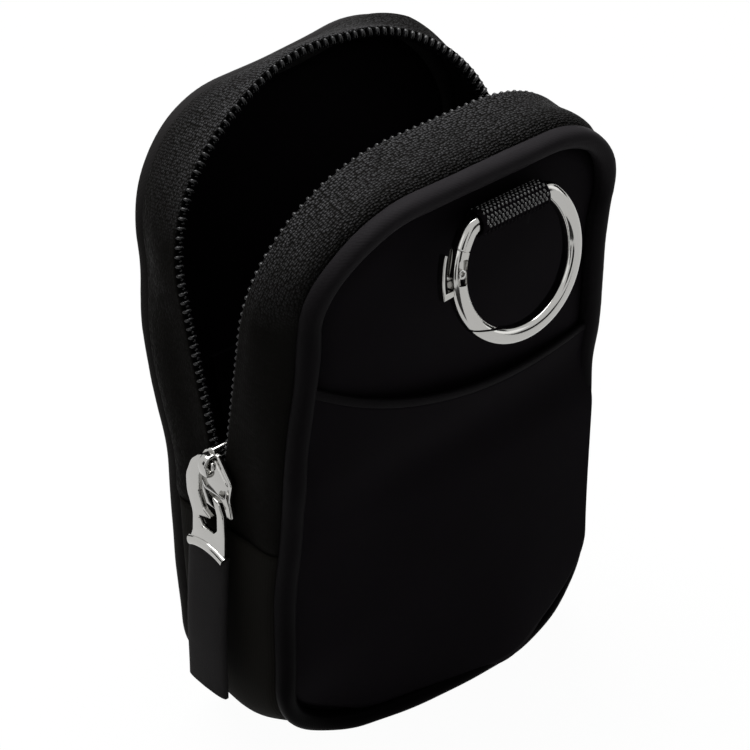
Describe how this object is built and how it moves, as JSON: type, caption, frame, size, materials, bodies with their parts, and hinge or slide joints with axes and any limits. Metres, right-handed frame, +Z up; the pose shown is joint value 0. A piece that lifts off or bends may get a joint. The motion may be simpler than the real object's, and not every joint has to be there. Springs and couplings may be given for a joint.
{
  "type": "key pouch",
  "caption": "small soft zip-around pouch with an open mouth, a front slip pocket, a metal slider with a cloth pull tab, and a sprung key ring on a webbing loop",
  "frame": {"origin": "middle of the flat bottom of the lower gusset, which the pouch stands on", "axes": "+X to the right seen from the front, -Y out of the front face with the ring, +Z up"},
  "size_m": [0.0954, 0.0722, 0.1441],
  "materials": {
    "panel_cloth": "matt black knit cloth",
    "rim_cloth": "matt black rolled cloth",
    "zip_tape": "woven tape with a slight glint",
    "zip_coil": "smooth nylon",
    "webbing": "coarse woven webbing",
    "tab_cloth": "close woven ribbon",
    "polished_metal": "polished"
  },
  "bodies": {
    "base": {"front_panel_lower": "panel_cloth", "front_rim_lower": "rim_cloth", "rear_panel_lower": "panel_cloth", "rear_rim_lower": "rim_cloth", "lower_gusset": "panel_cloth", "left_zip_tail": "zip_tape", "right_zip_tail": "zip_tape", "left_zip_stop": "polished_metal", "right_zip_stop": "polished_metal", "pocket_panel_lower": "panel_cloth", "inner_pocket_lower": "panel_cloth"},
    "front_half": {"front_panel_upper": "panel_cloth", "front_rim_upper": "rim_cloth", "front_zip_tape": "zip_tape", "front_zip_coil": "zip_coil", "pocket_panel_upper": "panel_cloth", "pocket_hem": "rim_cloth", "ring_loop": "webbing", "loop_foot": "webbing"},
    "rear_half": {"rear_panel_upper": "panel_cloth", "rear_rim_upper": "rim_cloth", "rear_zip_tape": "zip_tape", "rear_zip_coil": "zip_coil", "inner_pocket_upper": "panel_cloth", "inner_pocket_hem": "rim_cloth"},
    "slider": {"slider_body": "polished_metal"},
    "puller": {"slider_puller": "polished_metal"},
    "tab": {"pull_tab": "tab_cloth"},
    "ring": {"ring_body": "polished_metal", "gate_pin": "polished_metal"},
    "gate": {"ring_gate": "polished_metal"}
  },
  "joints": [
    {"name": "front_mouth", "type": "hinge", "parent": "base", "child": "front_half", "pos_m": [0, 0, 0.072], "axis": [1, 0, 0], "range_deg": [-12, 0]},
    {"name": "rear_mouth", "type": "hinge", "parent": "base", "child": "rear_half", "pos_m": [0, 0, 0.072], "axis": [1, 0, 0], "range_deg": [0, 12]},
    {"name": "slider_travel", "type": "slide", "parent": "base", "child": "slider", "axis": [0, 0, 1], "range_m": [0, 0.03]},
    {"name": "puller_flip", "type": "hinge", "parent": "slider", "child": "puller", "pos_m": [-0.0466, 0, 0.0763], "axis": [0, 1, 0], "range_deg": [0, 140]},
    {"name": "tab_flex", "type": "hinge", "parent": "puller", "child": "tab", "pos_m": [-0.048, 0, 0.05635], "axis": [0, 1, 0], "range_deg": [0, 40]},
    {"name": "ring_swing", "type": "hinge", "parent": "front_half", "child": "ring", "pos_m": [0.0055, -0.03274, 0.12986], "axis": [-1, 0, 0], "range_deg": [-20, 90]},
    {"name": "gate_open", "type": "hinge", "parent": "ring", "child": "gate", "pos_m": [-0.00937, -0.03414, 0.12194], "axis": [0, -0.9848, 0.1736], "range_deg": [0, 35], "stiffness_Nm_per_rad": 0.01}
  ],
  "couplings": [
    {"joint": "rear_mouth", "follows": "front_mouth", "ratio": -1},
    {"joint": "slider_travel", "follows": "front_mouth", "m_per_rad": -0.14324}
  ]
}
